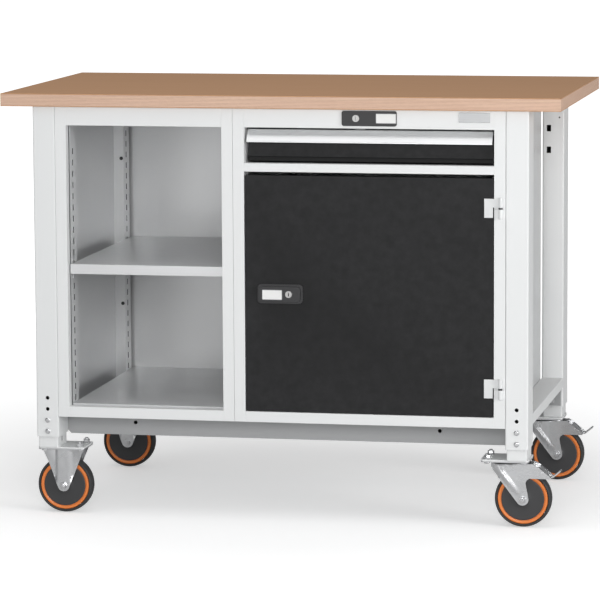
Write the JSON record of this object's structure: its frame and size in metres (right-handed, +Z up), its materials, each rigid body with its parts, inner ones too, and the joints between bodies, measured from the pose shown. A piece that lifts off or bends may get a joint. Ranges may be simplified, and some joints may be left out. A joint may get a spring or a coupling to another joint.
{
  "type": "workbench",
  "caption": "Mobile workbench: wooden top on a steel frame, open shelf unit, drawer above a hinged door, fixed and braked swivel casters.",
  "frame": {"origin": "centre of the bounding box in plan, on the floor under the wheels", "axes": "+X to the right along the worktop's length, +Y from the drawer side to the back, +Z up"},
  "size_m": [1.24, 0.7, 0.94],
  "materials": {
    "beech_ply": "satin oiled multiplex, pale ply edges",
    "frame_paint": "light grey powder coat, fine texture",
    "inner_sheet": "satin light grey coat",
    "anthracite_paint": "anthracite powder coat, fine texture",
    "dark_plastic": "moulded, fine grain",
    "zinc_plate": "bright zinc plating",
    "bright_profile": "bright anodised extrusion",
    "hinge_paint": "light grey satin coat",
    "tyre_rubber": "matte black tread",
    "orange_core": "orange moulded core"
  },
  "bodies": {
    "bench": {"worktop": "beech_ply", "leg_front_left": "frame_paint", "leg_front_right": "frame_paint", "leg_rear_left": "frame_paint", "leg_rear_right": "frame_paint", "lower_side_rails": "frame_paint", "upper_side_rails": "frame_paint", "front_beam": "frame_paint", "rear_beam": "frame_paint", "adjustable_feet": "frame_paint", "foot_screws": "zinc_plate", "frame_bolts": "zinc_plate", "caster_bolts": "zinc_plate", "shelf_unit_body": "inner_sheet", "shelf_unit_back": "inner_sheet", "shelf_unit_front": "frame_paint", "shelf_unit_floor": "inner_sheet", "shelf_unit_uprights": "inner_sheet", "adjustable_shelf": "inner_sheet", "shelf_clips": "zinc_plate", "drawer_unit_body": "inner_sheet", "drawer_unit_back": "inner_sheet", "drawer_unit_front": "frame_paint", "drawer_unit_floor": "inner_sheet", "drawer_unit_divider": "inner_sheet", "drawer_unit_uprights": "inner_sheet", "lock_plate": "dark_plastic", "runner_outer": "zinc_plate", "hinge_frame_leaves": "hinge_paint", "fixed_forks": "zinc_plate", "fixed_axles": "zinc_plate", "swivel_plates": "zinc_plate"},
    "drawer": {"drawer_box": "inner_sheet", "drawer_front": "anthracite_paint", "drawer_handle": "bright_profile", "runner_inner": "zinc_plate"},
    "runner_slide": {"runner_middle": "zinc_plate"},
    "door": {"door_panel": "anthracite_paint", "door_inner_panel": "anthracite_paint", "door_hinge_leaves": "hinge_paint", "door_handle_plate": "dark_plastic"},
    "latch": {"door_handle": "dark_plastic", "door_latch_arm": "zinc_plate"},
    "door_key": {"door_lock_plug": "zinc_plate"},
    "drawer_key": {"lock_plug": "zinc_plate", "lock_cam": "zinc_plate"},
    "swivel_front": {"swivel_fork_front": "zinc_plate", "swivel_axle_front": "zinc_plate"},
    "swivel_rear": {"swivel_fork_rear": "zinc_plate", "swivel_axle_rear": "zinc_plate"},
    "brake_front": {"brake_pedal_front": "zinc_plate"},
    "brake_rear": {"brake_pedal_rear": "zinc_plate"},
    "wheel_front_left": {"tyre_front_left": "tyre_rubber", "wheel_core_front_left": "orange_core"},
    "wheel_rear_left": {"tyre_rear_left": "tyre_rubber", "wheel_core_rear_left": "orange_core"},
    "wheel_front_right": {"tyre_front_right": "tyre_rubber", "wheel_core_front_right": "orange_core"},
    "wheel_rear_right": {"tyre_rear_right": "tyre_rubber", "wheel_core_rear_right": "orange_core"}
  },
  "joints": [
    {"name": "drawer_slide", "type": "slide", "parent": "bench", "child": "drawer", "axis": [0, -1, 0], "range_m": [0, 0.44]},
    {"name": "runner_travel", "type": "slide", "parent": "bench", "child": "runner_slide", "axis": [0, -1, 0], "range_m": [0, 0.22]},
    {"name": "door_swing", "type": "hinge", "parent": "bench", "child": "door", "pos_m": [0.49, -0.3448, 0.507], "axis": [0, 0, 1], "range_deg": [0, 180]},
    {"name": "latch_turn", "type": "hinge", "parent": "door", "child": "latch", "pos_m": [0.0245, -0.333, 0.507], "axis": [0, 1, 0], "range_deg": [0, 90]},
    {"name": "door_key_turn", "type": "hinge", "parent": "latch", "child": "door_key", "pos_m": [0.0245, -0.336, 0.507], "axis": [0, 1, 0], "range_deg": [0, 90]},
    {"name": "drawer_key_turn", "type": "hinge", "parent": "bench", "child": "drawer_key", "pos_m": [0.1735, -0.33, 0.8925], "axis": [0, 1, 0], "range_deg": [0, 90]},
    {"name": "swivel_turn_front", "type": "hinge", "parent": "bench", "child": "swivel_front", "pos_m": [0.4975, -0.29, 0.1395], "axis": [0, 0, 1], "continuous": true},
    {"name": "swivel_turn_rear", "type": "hinge", "parent": "bench", "child": "swivel_rear", "pos_m": [0.4975, 0.292, 0.1395], "axis": [0, 0, 1], "continuous": true},
    {"name": "brake_press_front", "type": "hinge", "parent": "swivel_front", "child": "brake_front", "pos_m": [0.576, -0.29, 0.1205], "axis": [0, 1, 0], "range_deg": [0, 10]},
    {"name": "brake_press_rear", "type": "hinge", "parent": "swivel_rear", "child": "brake_rear", "pos_m": [0.576, 0.292, 0.1205], "axis": [0, 1, 0], "range_deg": [0, 10]},
    {"name": "wheel_spin_front_left", "type": "hinge", "parent": "bench", "child": "wheel_front_left", "pos_m": [-0.4975, -0.29, 0.0625], "axis": [0, 1, 0], "continuous": true},
    {"name": "wheel_spin_rear_left", "type": "hinge", "parent": "bench", "child": "wheel_rear_left", "pos_m": [-0.4975, 0.292, 0.0625], "axis": [0, 1, 0], "continuous": true},
    {"name": "wheel_spin_front_right", "type": "hinge", "parent": "swivel_front", "child": "wheel_front_right", "pos_m": [0.534, -0.29, 0.0625], "axis": [0, 1, 0], "continuous": true},
    {"name": "wheel_spin_rear_right", "type": "hinge", "parent": "swivel_rear", "child": "wheel_rear_right", "pos_m": [0.534, 0.292, 0.0625], "axis": [0, 1, 0], "continuous": true}
  ],
  "couplings": [
    {"joint": "runner_travel", "follows": "drawer_slide", "ratio": 0.5}
  ]
}
